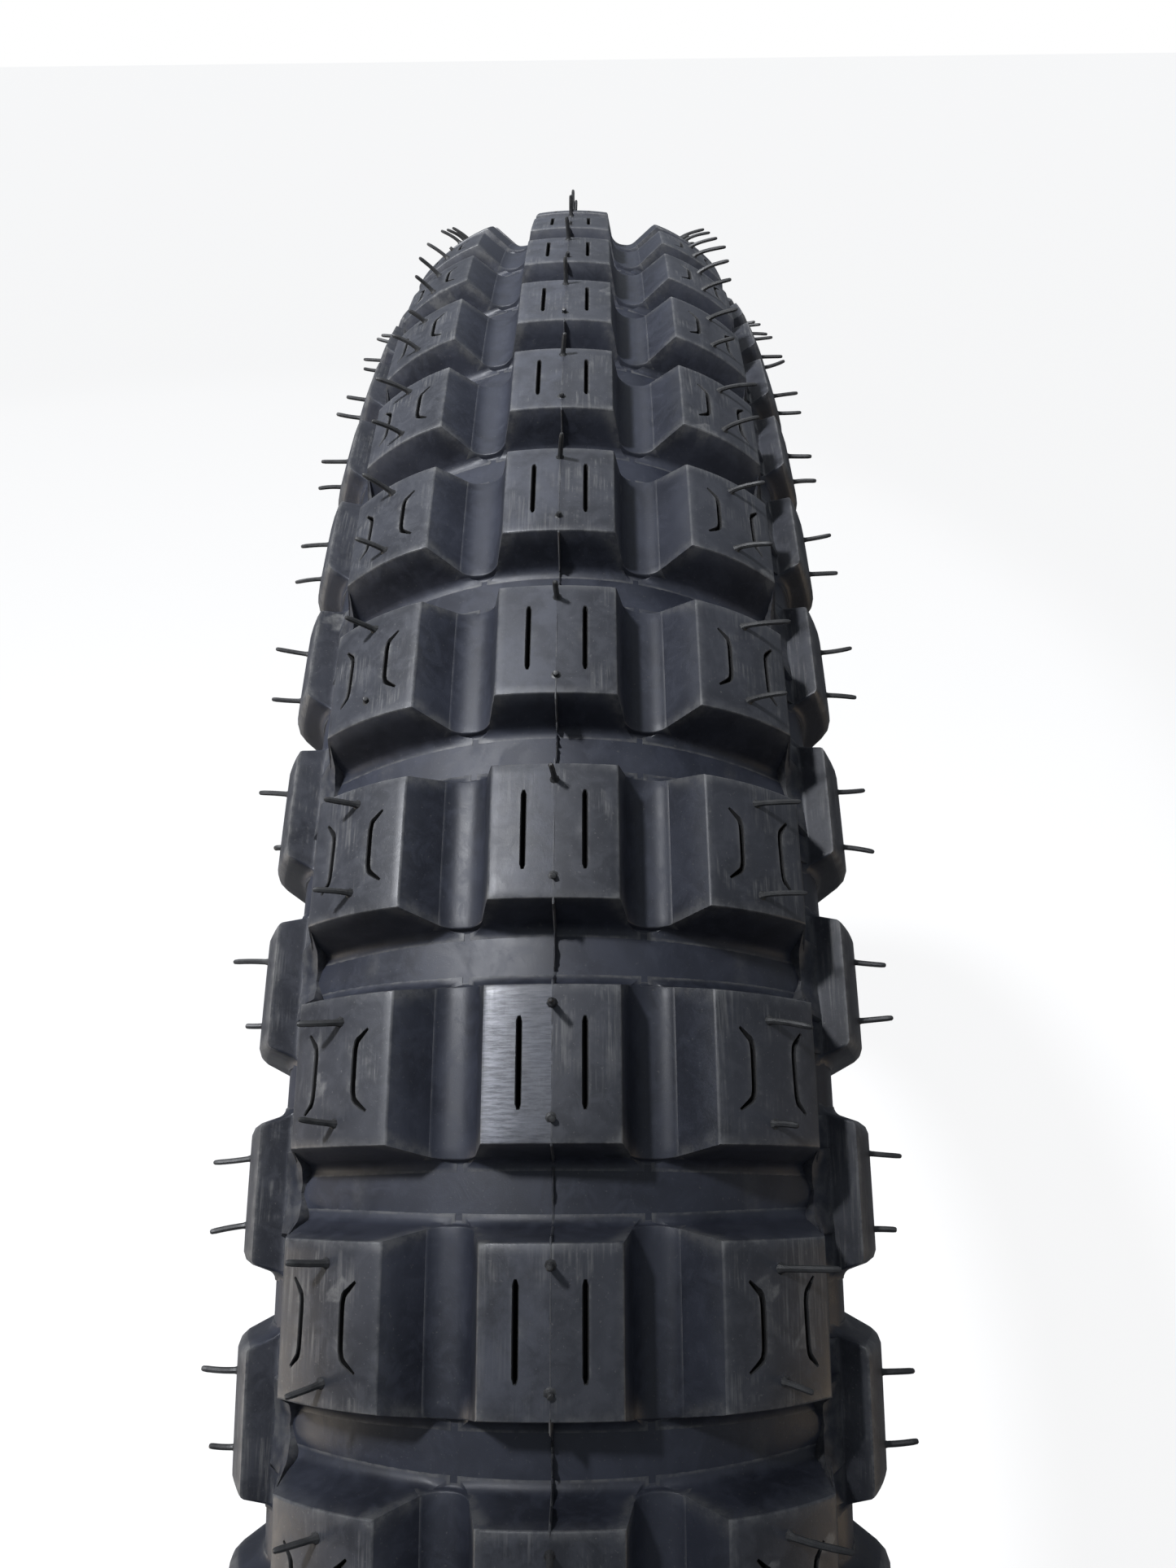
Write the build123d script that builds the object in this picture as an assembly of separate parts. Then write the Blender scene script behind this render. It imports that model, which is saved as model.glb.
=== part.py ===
from build123d import *
import os
from math import asin, cos, degrees, radians, sin, tan

# Bias-ply trail tyre for an 18 inch motorcycle rim, in mm.
# Origin at the wheel's centre, +Y along the wheel's axle, +Z up. Left is -Y.
# Sections are drawn flat, as (distance across from the middle, radius).
# An angle in a section leans from straight out of the tyre towards its side.

# Driving sizes
SEAT_RADIUS = 18 * 25.4 / 2
TREAD_RADIUS = 320.0
TREAD_BEND = 65.0
SHOULDER_TREAD_BEND = 37.0
FLOOR_RADIUS = 312.2
FLOOR_BEND = 51.0
LINING_RADIUS = 305.5
ROWS = 64
PITCH = 360 / ROWS
DRAFT = 12.5

# Casing curve, from the middle to the bead
CROWN_BEND, CROWN_END = 50.0, 22.0
SHOULDER_BEND, SHOULDER_END = 27.0, 80.0
SIDE_BEND, SIDE_END = 28.0, 135.0
LOWER_SIDE_LENGTH = 13.7
BEAD_BEND = 12.0

# Thickness of each layer
LINER = 0.9
PLY = 0.8
BREAKER = 0.8
FLIPPER = 0.4
CHAFER = 0.7
SIDE_WALL = 4.8
BREAKER_HALF_WIDTHS = (24.0, 20.0)

# Outside skin below the tread
FLOOR_EDGE = 37.4
SKIN_SHOULDER = (40.35, 288.5)
SKIN_SIDE_START, SKIN_SIDE_END = 84.0, 128.0
SKIRT_STEP, SKIRT_RADIUS = 3.3, 249.0
FLANGE_TOP = 245.2
BAND_HALF_WIDTH = 26.0
RIB_RADIUS = 0.55
RIB_ANGLES = (95.0, 126.0)

# Bead
WIRES_ACROSS, WIRES_HIGH = 4, 4
WIRE = 0.95
WIRE_PITCH = 1.15
CORE_BOTTOM = SEAT_RADIUS + 3.7
FILLER_TOP = 248.0
FILLER_FLARE = 1.3
CHAFER_TOP = 244.0
HEEL_ROUND, TOE_ROUND = 2.6, 1.4

# Tread blocks
CENTRE_HALF_WIDTH = 8.8
VALLEY_FOOT = (10.2, 311.9)
VALLEY_RISE = (15.0, 311.3)
VALLEY_EASE = (2.5, 1.5)
SHOULDER_IN, SHOULDER_OUT = 21.05, 34.9
SHOULDER_FOOT = (36.0, 296.5)
CENTRE_CUT, SHOULDER_CUT = 10.8, 16.4
CENTRE_HALF_LENGTH, SHOULDER_HALF_LENGTH = 9.93, 9.7

# Slots in the blocks
SIPE_WIDTH, SIPE_DEPTH = 0.7, 4.5
SIPE_LENGTH, SIPE_OFFSET = 11.7, 4.2
CRANK_STRAIGHT, CRANK_END = 3.7, 5.2
INNER_CRANK, OUTER_CRANK = (-2.9, -4.8), (4.0, 5.4)

# Side knobs, half a row out of step with the blocks
KNOB_OUTLINE = [
    (36.6, 296.6), (37.6, 296.1), (41.6, 298.0), (44.2, 293.2),
    (45.2, 289.2), (44.7, 286.4), (40.6, 281.6), (37.0, 283.0),
]
KNOB_FACE, KNOB_LEAN = (43.4, 294.6), 65.0
KNOB_HALF_LENGTH = 9.2

# Moulding marks
SPEW_RADIUS, SPEW_LENGTH, SPEW_ROOT = 0.45, 5.0, 1.0
SHOULDER_SPEW = 28.4
SIDE_SPEW, SIDE_SPEW_LEAN = (44.8, 291.0), 84.0
SHOULDER_SPEW_SPACING, SIDE_SPEW_SPACING = 6.7, 4.7
CENTRE_SPEW_SPACING = 7.2
FLASH_THICKNESS, FLASH_HEIGHT = 0.4, 1.4


def along(point, angle, distance):
    """Point reached by leaning from straight out and going that distance."""
    return point[0] + sin(radians(angle)) * distance, point[1] + cos(radians(angle)) * distance


def on_bend(centre, bend, across):
    """Point and lean of an arc at one distance from the tyre's middle."""
    lean = degrees(asin((across - centre[0]) / bend))
    return along(centre, lean, bend), lean


TREAD_CENTRE = (0.0, TREAD_RADIUS - TREAD_BEND)
FLOOR_CENTRE = (0.0, FLOOR_RADIUS - FLOOR_BEND)
SHOULDER_TOP, SHOULDER_LEAN = on_bend(TREAD_CENTRE, TREAD_BEND, SHOULDER_IN)
SHOULDER_TREAD_CENTRE = along(TREAD_CENTRE, SHOULDER_LEAN, TREAD_BEND - SHOULDER_TREAD_BEND)

CROWN = (0.0, LINING_RADIUS - CROWN_BEND)
SHOULDER = along(CROWN, CROWN_END, CROWN_BEND - SHOULDER_BEND)
SIDE = along(SHOULDER, SHOULDER_END, SHOULDER_BEND - SIDE_BEND)
LOWER_SIDE = along(along(SIDE, SIDE_END, SIDE_BEND), SIDE_END + 90, LOWER_SIDE_LENGTH)
BEAD = along(LOWER_SIDE, SIDE_END, BEAD_BEND)

LINING_AT_BEAD = BEAD[0] - BEAD_BEND
CORE_IN = LINING_AT_BEAD + LINER + 2 * PLY + FLIPPER
CORE_OUT = CORE_IN + WIRES_ACROSS * WIRE_PITCH
CORE_TOP = CORE_BOTTOM + WIRES_HIGH * WIRE_PITCH
FLANGE_FACE = CORE_OUT + FLIPPER + 2 * PLY + CHAFER
FAR_OUT = TREAD_RADIUS + 10


def arc(centre, bend, start, end):
    """Arc of a section between two leans."""
    return CenterArc(centre, bend, 90 - end, end - start)


def flats(centre, bend, start, end, count=4):
    """Points that follow an arc between two leans in short flats."""
    return [along(centre, start + (end - start) * step / count, bend) for step in range(count + 1)]


def eased(before, corner, after, reach, count=4):
    """Points that round a corner off, from that reach before it to the same after it."""
    corner = Vector(*corner)
    start = corner + (Vector(*before) - corner).normalized() * reach
    end = corner + (Vector(*after) - corner).normalized() * reach
    shares = [step / count for step in range(count + 1)]
    return [start * (1 - t) ** 2 + corner * 2 * t * (1 - t) + end * t**2 for t in shares]


def closed(*points):
    return make_face(Polyline(*points, close=True))


def block_out(low, high):
    """Upright rectangle between two opposite corners."""
    return closed(low, (high[0], low[1]), high, (low[0], high[1]))


def mirrored(section):
    return section + mirror(section, Plane.YZ)


def grown(region, thickness):
    return offset(region, amount=thickness, kind=Kind.INTERSECTION)


# Casing, beads and skin


def casing_region(stand_off):
    """Right half of all that lies inside the casing curve, moved outward."""
    wall = LINING_AT_BEAD + stand_off
    return make_face([
        arc(CROWN, CROWN_BEND + stand_off, 0, CROWN_END),
        arc(SHOULDER, SHOULDER_BEND + stand_off, CROWN_END, SHOULDER_END),
        arc(SIDE, SIDE_BEND + stand_off, SHOULDER_END, SIDE_END),
        Line(along(SIDE, SIDE_END, SIDE_BEND + stand_off), along(LOWER_SIDE, SIDE_END, stand_off)),
        CenterArc(BEAD, BEAD_BEND - stand_off, SIDE_END, 180 - SIDE_END),
        Polyline((wall, BEAD[1]), (wall, CORE_BOTTOM), (0, CORE_BOTTOM), (0, LINING_RADIUS + stand_off)),
    ])


def skin_region():
    """Right half of all that lies inside the tyre's skin, blocks left out."""
    floor_end, floor_lean = on_bend(FLOOR_CENTRE, FLOOR_BEND, FLOOR_EDGE)
    heading = along((0, 0), floor_lean + 90, 1)
    side_top = along(SIDE, SKIN_SIDE_START, SIDE_BEND + SIDE_WALL)
    side_foot = along(SIDE, SKIN_SIDE_END, SIDE_BEND + SIDE_WALL)
    return make_face([
        arc(FLOOR_CENTRE, FLOOR_BEND, 0, floor_lean),
        TangentArc(floor_end, SKIN_SHOULDER, tangent=heading),
        Line(SKIN_SHOULDER, side_top),
        arc(SIDE, SIDE_BEND + SIDE_WALL, SKIN_SIDE_START, SKIN_SIDE_END),
        Polyline(
            side_foot, (FLANGE_FACE + SKIRT_STEP, SKIRT_RADIUS), (FLANGE_FACE, FLANGE_TOP),
            (FLANGE_FACE, CORE_BOTTOM), (0, CORE_BOTTOM), (0, FLOOR_RADIUS),
        ),
    ])


def side_ribs():
    """The plain rings that stand proud of each sidewall."""
    return [Pos(*along(SIDE, lean, SIDE_BEND + SIDE_WALL)) * Circle(RIB_RADIUS) for lean in RIB_ANGLES]


def bead_foot(inset):
    """Outline of the bead's foot, drawn in by inset all round."""
    toe, heel, seat = TOE_ROUND - inset, HEEL_ROUND - inset, SEAT_RADIUS + inset
    inner, outer = LINING_AT_BEAD - CHAFER + inset, FLANGE_FACE - inset
    return closed(
        (inner, CHAFER_TOP),
        *flats((inner + toe, seat + toe), toe, 270, 180),
        *flats((outer - heel, seat + heel), heel, 180, 90),
        (outer, CHAFER_TOP),
    )


def wire_sections():
    for column in range(WIRES_ACROSS):
        for layer in range(WIRES_HIGH):
            across = CORE_IN + (column + 0.5) * WIRE_PITCH
            yield Pos(across, CORE_BOTTOM + (layer + 0.5) * WIRE_PITCH) * Circle(WIRE / 2)


def bead_filler_section():
    slab = closed(
        (CORE_IN - 1, CORE_TOP), (CORE_OUT, CORE_TOP),
        (CORE_OUT + FILLER_FLARE, FILLER_TOP), (CORE_IN - 1, FILLER_TOP),
    )
    return slab - casing_region(LINER + 2 * PLY + FLIPPER)


def ring_sections():
    """Right half section of every ring: those that cross the middle, then one side's."""
    core = block_out((CORE_IN, CORE_BOTTOM), (CORE_OUT, CORE_TOP))
    filler = bead_filler_section()
    lining, liner_edge = casing_region(0), casing_region(LINER)
    first_edge, second_edge = casing_region(LINER + PLY), casing_region(LINER + 2 * PLY)
    wrapped = grown(core + filler, FLIPPER)
    turned = grown(wrapped, PLY)
    turned_twice = grown(turned, PLY)
    foot, foot_inside = bead_foot(0), bead_foot(CHAFER)
    chafer = foot - foot_inside - block_out((0, BEAD[1]), (CORE_IN, CHAFER_TOP))
    across = {
        "inner_liner": liner_edge - lining,
        "casing_ply_1": first_edge - liner_edge + (turned_twice - turned - liner_edge - second_edge),
        "casing_ply_2": second_edge - first_edge + (turned - wrapped - first_edge),
    }
    edge, rubber = second_edge, skin_region() + foot_inside
    for number, half_width in enumerate(BREAKER_HALF_WIDTHS, start=1):
        next_edge = casing_region(LINER + 2 * PLY + number * BREAKER)
        strip = (next_edge - edge) & block_out((0, CROWN[1]), (half_width, FAR_OUT))
        across[f"breaker_{number}"] = strip
        rubber = rubber - strip
        edge = next_edge
    rubber = rubber - turned_twice - second_edge - chafer
    crown_side = block_out((0, CROWN[1]), (BAND_HALF_WIDTH, FAR_OUT))
    strip_side = closed((0, FAR_OUT), SHOULDER, along(SHOULDER, SHOULDER_END, FLOOR_BEND), (FAR_OUT, FAR_OUT))
    bead_side = block_out((0, 0), (FAR_OUT, CHAFER_TOP))
    across["tread_band"] = rubber & crown_side
    sides = {
        "bead_filler": filler,
        "bead_flipper": wrapped - core - filler - second_edge,
        "bead_insulation": core - list(wire_sections()),
        "bead_cushion": rubber & bead_side,
        "chafer": chafer,
        "shoulder_strip": (rubber & strip_side) - crown_side,
        "sidewall": (rubber + side_ribs()) - crown_side - strip_side - bead_side - second_edge,
    }
    return across, sides


# Tread


CENTRE_EDGE, CENTRE_LEAN = on_bend(TREAD_CENTRE, TREAD_BEND, CENTRE_HALF_WIDTH)


def valley():
    """Points of the hollow between the centre block's wall and the shoulder block's slope."""
    return [
        *eased(CENTRE_EDGE, VALLEY_FOOT, VALLEY_RISE, VALLEY_EASE[0]),
        *eased(VALLEY_FOOT, VALLEY_RISE, SHOULDER_TOP, VALLEY_EASE[1]),
    ]


def row_region():
    """Right half section of one row of blocks, above the groove floor."""
    outer_edge, outer_lean = on_bend(SHOULDER_TREAD_CENTRE, SHOULDER_TREAD_BEND, SHOULDER_OUT)
    row = make_face([
        arc(TREAD_CENTRE, TREAD_BEND, 0, CENTRE_LEAN),
        Polyline(CENTRE_EDGE, *valley(), SHOULDER_TOP),
        arc(SHOULDER_TREAD_CENTRE, SHOULDER_TREAD_BEND, SHOULDER_LEAN, outer_lean),
        Polyline(outer_edge, SHOULDER_FOOT, (0, SHOULDER_FOOT[1]), (0, TREAD_RADIUS)),
    ])
    return row - skin_region()


def spun(section, sweep=360.0):
    """Section turned about the axle, centred on the top of the tyre."""
    start = -sweep / 2 if sweep < 360 else 0
    return revolve(Rot(0, start, 0) * (Plane.YZ * section), Axis.Y, sweep)


def side_plane(point, lean):
    """Plane across the tyre's face at one point of its section."""
    return Plane(
        origin=(0, *point),
        x_dir=(0, cos(radians(lean)), -sin(radians(lean))),
        z_dir=(0, sin(radians(lean)), cos(radians(lean))),
    )


def drafted(section, point, lean, half_length):
    """Block of that section between two end walls that slope by the draft."""
    above, below = 6.0, 18.0
    top, base = half_length - above * tan(radians(DRAFT)), half_length + below * tan(radians(DRAFT))
    outline = closed((above, -top), (above, top), (-below, base), (-below, -base))
    wedge = extrude(outline, FLOOR_BEND, both=True)
    turn = Plane(
        origin=(0, *point),
        x_dir=(0, sin(radians(lean)), cos(radians(lean))),
        z_dir=(0, cos(radians(lean)), -sin(radians(lean))),
    )
    return spun(section, 2 * PITCH) & (turn * wedge)


def centre_block():
    section = mirrored(row_region() & block_out((0, 0), (CENTRE_CUT, FAR_OUT)))
    block = drafted(section, (0, TREAD_RADIUS), 0, CENTRE_HALF_LENGTH)
    for side in (-1, 1):
        block -= Pos(0, side * SIPE_OFFSET, TREAD_RADIUS) * Box(SIPE_LENGTH, SIPE_WIDTH, 2 * SIPE_DEPTH)
    return block


def tie_bar():
    """Right tie bar, the floor of the valley between two blocks."""
    middle = (CENTRE_CUT + SHOULDER_CUT) / 2
    floor = [on_bend(FLOOR_CENTRE, FLOOR_BEND, across)[0] for across in (SHOULDER_CUT, middle, CENTRE_CUT)]
    section = closed(CENTRE_EDGE, *valley(), SHOULDER_TOP, *floor)
    section = section & block_out((CENTRE_CUT, 0), (SHOULDER_CUT, FAR_OUT))
    return drafted(section, (0, TREAD_RADIUS), 0, CENTRE_HALF_LENGTH)


def shoulder_block():
    """Right shoulder block, with its pair of cranked slots."""
    section = row_region() & block_out((SHOULDER_CUT, 0), (FAR_OUT, FAR_OUT))
    middle, lean = on_bend(SHOULDER_TREAD_CENTRE, SHOULDER_TREAD_BEND, (SHOULDER_IN + SHOULDER_OUT) / 2)
    block = drafted(section, middle, lean, SHOULDER_HALF_LENGTH)
    for straight, end in (INNER_CRANK, OUTER_CRANK):
        route = Polyline(
            (end, -CRANK_END), (straight, -CRANK_STRAIGHT), (straight, CRANK_STRAIGHT), (end, CRANK_END),
        )
        cutter = extrude(trace(route, SIPE_WIDTH), SIPE_DEPTH, both=True)
        block -= side_plane(middle, lean) * cutter
    return block


def side_knob():
    """Right side knob, seated on the skin between two rows."""
    section = closed(*KNOB_OUTLINE) - skin_region()
    return drafted(section, KNOB_FACE, KNOB_LEAN, KNOB_HALF_LENGTH)


def seam_fin():
    """Thin fin of flash that the mould's joint leaves across one groove."""
    fin = block_out((-FLASH_THICKNESS / 2, CROWN[1]), (FLASH_THICKNESS / 2, FLOOR_RADIUS + FLASH_HEIGHT))
    foot_length = CENTRE_HALF_LENGTH + (TREAD_RADIUS - FLOOR_RADIUS) * tan(radians(DRAFT))
    gap = PITCH - 2 * degrees(asin(foot_length / FLOOR_RADIUS))
    return spun(fin - mirrored(skin_region()), gap)


def spews(block, point, lean, spacing):
    """Pair of vent spews that stand on one block."""
    whisker = Cylinder(SPEW_RADIUS, SPEW_LENGTH + SPEW_ROOT, align=(Align.CENTER, Align.CENTER, Align.MIN))
    pair = []
    for end in (-1, 1):
        pair.append(side_plane(point, lean) * Pos(0, end * spacing, -SPEW_ROOT) * whisker - block)
    return pair


# Nodes


def in_rows(pieces, lead=0.0):
    """Every row's copy of the given pieces, as separate solids."""
    return [Rot(0, lead + row * PITCH, 0) * piece for row in range(ROWS) for piece in pieces]


def between_rows(pieces):
    return in_rows(pieces, PITCH / 2)


def save(name, solids):
    every_solid = [solid for piece in solids for solid in piece.solids()]
    export_step(Compound(children=every_solid), f"parts/{name}.step")


def save_pair(name, pieces, copies=lambda pieces: pieces):
    save(f"{name}_right", copies(pieces))
    save(f"{name}_left", copies([mirror(piece, Plane.XZ) for piece in pieces]))


def save_rings():
    across, sides = ring_sections()
    for name, section in across.items():
        save(name, [spun(mirrored(section))])
    for name, section in sides.items():
        save_pair(name, [spun(section)])
    save_pair("bead_wires", [spun(section) for section in wire_sections()])


def save_tread():
    centre, shoulder, knob = centre_block(), shoulder_block(), side_knob()
    spew_top, spew_lean = on_bend(SHOULDER_TREAD_CENTRE, SHOULDER_TREAD_BEND, SHOULDER_SPEW)
    save("centre_blocks", in_rows([centre]))
    save("centre_spews", in_rows(spews(centre, (0, TREAD_RADIUS), 0, CENTRE_SPEW_SPACING)))
    save("seam_flash", between_rows([seam_fin()]))
    save_pair("tie_bars", [tie_bar()], in_rows)
    save_pair("shoulder_blocks", [shoulder], in_rows)
    save_pair("shoulder_spews", spews(shoulder, spew_top, spew_lean, SHOULDER_SPEW_SPACING), in_rows)
    save_pair("side_knobs", [knob], between_rows)
    save_pair("side_spews", spews(knob, SIDE_SPEW, SIDE_SPEW_LEAN, SIDE_SPEW_SPACING), between_rows)


os.makedirs("parts", exist_ok=True)
save_rings()
save_tread()
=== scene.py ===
import random
from math import asin, cos, pi, radians, sin, sqrt, tan, tau

import bmesh
import bpy
import numpy as np
from mathutils import Matrix, Vector


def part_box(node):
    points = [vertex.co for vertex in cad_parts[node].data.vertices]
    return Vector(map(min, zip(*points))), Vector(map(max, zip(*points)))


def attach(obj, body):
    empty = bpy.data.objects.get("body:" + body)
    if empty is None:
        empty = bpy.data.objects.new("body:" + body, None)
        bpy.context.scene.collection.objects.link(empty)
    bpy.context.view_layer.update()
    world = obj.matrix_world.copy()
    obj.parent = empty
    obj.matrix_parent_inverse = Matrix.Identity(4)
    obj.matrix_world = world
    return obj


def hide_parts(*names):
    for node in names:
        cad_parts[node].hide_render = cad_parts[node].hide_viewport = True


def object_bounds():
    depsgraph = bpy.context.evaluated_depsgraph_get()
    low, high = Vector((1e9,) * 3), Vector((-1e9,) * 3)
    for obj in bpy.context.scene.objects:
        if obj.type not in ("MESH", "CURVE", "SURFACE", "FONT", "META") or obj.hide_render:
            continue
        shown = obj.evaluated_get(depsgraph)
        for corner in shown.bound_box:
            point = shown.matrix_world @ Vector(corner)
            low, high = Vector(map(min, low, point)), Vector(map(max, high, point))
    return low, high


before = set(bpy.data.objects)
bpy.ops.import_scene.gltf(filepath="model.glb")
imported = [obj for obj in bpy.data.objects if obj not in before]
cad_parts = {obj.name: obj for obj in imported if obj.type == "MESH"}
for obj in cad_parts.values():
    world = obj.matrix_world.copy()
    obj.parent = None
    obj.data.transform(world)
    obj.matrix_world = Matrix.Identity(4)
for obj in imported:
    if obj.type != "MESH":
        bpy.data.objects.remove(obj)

CAD_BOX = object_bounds()
MM = 0.001

# ---------------------------------------------------------------- tyre sizes
# Millimetres. A section is drawn as (distance across from the middle, radius).
# A turn runs round the tyre from +X up towards +Z.

TREAD_RADIUS = round(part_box("centre_blocks")[1][2] / MM, 1)
FLOOR_RADIUS = round(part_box("tread_band")[1][2] / MM, 1)
ROWS = 64
PITCH = tau / ROWS
TREAD_BEND, SHOULDER_TREAD_BEND, FLOOR_BEND = 65.0, 37.0, 51.0
SHOULDER_IN, SHOULDER_OUT = 21.05, 34.9
SHOULDER_FOOT_IN, SHOULDER_FOOT_OUT = 13.83, 35.9
CENTRE_HALF_WIDTH, CENTRE_FOOT_HALF_WIDTH = 8.8, 10.4
BLOCK_HALF_TURN = 0.0310
DRAFT = tan(radians(12.5))
TREAD_CENTRE = (0.0, TREAD_RADIUS - TREAD_BEND)
FLOOR_CENTRE = (0.0, FLOOR_RADIUS - FLOOR_BEND)

LINING_RADIUS = 305.5
CROWN_BEND, CROWN_END = 50.0, radians(22.0)
SHOULDER_BEND, SHOULDER_END = 27.0, radians(80.0)
SIDE_BEND, SIDE_END = 28.0, radians(135.0)
CASING = 2.5
BREAKERS = 1.6
SIDE_WALL = 4.8
BASE_EDGE = 26.0
BASE_LEAN, STRIP_LEAN = radians(33.97), radians(36.1)
SKIN_FOOT = (40.3, 282.4)
RIB_LEANS, RIB_CLEARED, RIB_CLEARING = (96.0, 124.0), (95.0, 124.0), 2.6
RIB_HEIGHT = 0.62
SEAT_RADIUS = 228.6
BEAD_INNER, BEAD_OUTER = 13.53, 24.43
TOE_ROUND, HEEL_ROUND = 1.4, 2.6
CHAFER_THICKNESS = 0.7

EDGE_ROUND, BAR_EDGE_ROUND = 0.28, 0.2
FOOT_ROUND, BAR_FOOT_ROUND, KNOB_FOOT_ROUND = 1.3, 0.45, 0.9
SINK = 0.7
SIPE_WIDTH, SIPE_DEPTH, SIPE_CHAMFER = 0.60, 4.0, 0.12
SIPE_END_NARROWING = 0.45
CENTRE_SLOT_ACROSS = 4.2
KNOB_HALF, KNOB_SPREAD, KNOB_DRAFT = 9.15, 0.9, 0.16
SPEW_RADIUS, SPEW_LENGTH = 0.44, 5.2
SHOULDER_SPEW_ACROSS, SHOULDER_SPEW_SPACING = 28.4, 6.7
SIDE_SPEW_SPOT, SIDE_SPEW_LEAN, SIDE_SPEW_SPACING = (44.3, 291.0), radians(84), 4.7
SEAM_THREAD_HALF, SEAM_FIN_HALF, SEAM_ROOT = 0.11, 0.2, -0.35
CREASE_DEGREES = 34.0
LAY = random.Random(11)


def along(point, lean, distance):
    """Point reached from another by leaning towards the tyre's side."""
    return np.array([point[0] + sin(lean) * distance, point[1] + cos(lean) * distance])


def bend(centre, radius, start, end, count):
    """Points of an arc between two leans."""
    return np.array([along(centre, lean, radius) for lean in np.linspace(start, end, count)])


def lean_at(centre, radius, across):
    return asin((across - centre[0]) / radius)


SHOULDER_LEAN = lean_at(TREAD_CENTRE, TREAD_BEND, SHOULDER_IN)
SHOULDER_TREAD_CENTRE = along(TREAD_CENTRE, SHOULDER_LEAN, TREAD_BEND - SHOULDER_TREAD_BEND)
OUTER_LEAN = lean_at(SHOULDER_TREAD_CENTRE, SHOULDER_TREAD_BEND, SHOULDER_OUT)
CROWN = (0.0, LINING_RADIUS - CROWN_BEND)
SHOULDER = along(CROWN, CROWN_END, CROWN_BEND - SHOULDER_BEND)
SIDE = along(SHOULDER, SHOULDER_END, SHOULDER_BEND - SIDE_BEND)


def tread_top(across):
    """Radius of the tread's outside curve at one distance from the middle."""
    if abs(across) <= SHOULDER_IN:
        return along(TREAD_CENTRE, lean_at(TREAD_CENTRE, TREAD_BEND, abs(across)), TREAD_BEND)[1]
    lean = lean_at(SHOULDER_TREAD_CENTRE, SHOULDER_TREAD_BEND, abs(across))
    return along(SHOULDER_TREAD_CENTRE, lean, SHOULDER_TREAD_BEND)[1]


def floor_at(across):
    return FLOOR_CENTRE[1] + sqrt(FLOOR_BEND**2 - across**2)


def around(section, turns):
    """Points in metres from section points and the turns that they stand at."""
    across, radius = section[..., 0], section[..., 1]
    return np.stack([radius * np.cos(turns), across, radius * np.sin(turns)], axis=-1) * MM


# ---------------------------------------------------------------- mesh tools


def grid_faces(first, rows, columns):
    """Quads of a sheet of points numbered row by row."""
    faces = []
    for row in range(rows - 1):
        for column in range(columns - 1):
            corner = first + row * columns + column
            faces.append((corner, corner + 1, corner + columns + 1, corner + columns))
    return faces


def rim_of(rows, columns):
    """Numbers of a sheet's points along its rim, in order."""
    near = [(row, 0) for row in range(rows)]
    right = [(rows - 1, column) for column in range(1, columns)]
    far = [(row, columns - 1) for row in range(rows - 2, -1, -1)]
    left = [(0, column) for column in range(columns - 2, 0, -1)]
    return [row * columns + column for row, column in near + right + far + left]


def welded(points, faces, marks):
    """Unit mesh with its doubled points joined and its faces turned outward."""
    mesh = bpy.data.meshes.new("unit")
    mesh.from_pydata([tuple(p) for p in points], [], faces)
    mesh.polygons.foreach_set("material_index", marks)
    edit = bmesh.new()
    edit.from_mesh(mesh)
    bmesh.ops.remove_doubles(edit, verts=edit.verts, dist=2e-6)
    bmesh.ops.recalc_face_normals(edit, faces=edit.faces)
    edit.to_mesh(mesh)
    edit.free()
    return mesh


def unit_arrays(mesh):
    points = np.empty(len(mesh.vertices) * 3)
    mesh.vertices.foreach_get("co", points)
    faces = [tuple(face.vertices) for face in mesh.polygons]
    marks = [face.material_index for face in mesh.polygons]
    return points.reshape(-1, 3), faces, marks


def slotted(mesh, cutters):
    """Unit mesh with slots cut out of it."""
    block = bpy.data.objects.new("block", mesh)
    bpy.context.collection.objects.link(block)
    knives = []
    for cutter in cutters:
        knife = bpy.data.objects.new("knife", cutter)
        bpy.context.collection.objects.link(knife)
        cut = block.modifiers.new("cut", "BOOLEAN")
        cut.operation, cut.solver, cut.object = "DIFFERENCE", "EXACT", knife
        knives.append(knife)
    bpy.context.view_layer.update()
    done = bpy.data.meshes.new_from_object(block.evaluated_get(bpy.context.evaluated_depsgraph_get()))
    for used in (block, *knives):
        bpy.data.objects.remove(used)
    return done


def copied(unit, turns, left=False):
    """Arrays of one unit repeated at each turn, on the right side or the left."""
    points, faces, marks = unit
    every_point, every_face = [], []
    for number, turn in enumerate(turns):
        x = points[:, 0] * cos(turn) - points[:, 2] * sin(turn)
        z = points[:, 0] * sin(turn) + points[:, 2] * cos(turn)
        every_point.append(np.stack([x, points[:, 1] * (-1 if left else 1), z], axis=-1))
        start = number * len(points)
        step = -1 if left else 1
        every_face.extend(tuple(start + corner for corner in face[::step]) for face in faces)
    return np.concatenate(every_point), every_face, marks * len(turns)


def piece(name, arrays, materials, node, crease=CREASE_DEGREES):
    """Finished piece of the tyre that stands for a CAD node."""
    points, faces, marks = arrays
    mesh = bpy.data.meshes.new(name)
    mesh.from_pydata(np.asarray(points).tolist(), [], faces)
    for material in materials:
        mesh.materials.append(material)
    mesh.polygons.foreach_set("material_index", marks)
    mesh.polygons.foreach_set("use_smooth", [True] * len(faces))
    mesh.update()
    mesh.set_sharp_from_angle(angle=radians(crease))
    made = bpy.data.objects.new(name, mesh)
    bpy.context.collection.objects.link(made)
    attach(made, "root")
    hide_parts(node)
    return made


ROW_TURNS = [row * PITCH for row in range(ROWS)]
GAP_TURNS = [turn + PITCH / 2 for turn in ROW_TURNS]
# Turn of the block whose rubbed patch carries a painted sheen.
RUB_SHEEN_TURN = ROW_TURNS[9]

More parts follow.
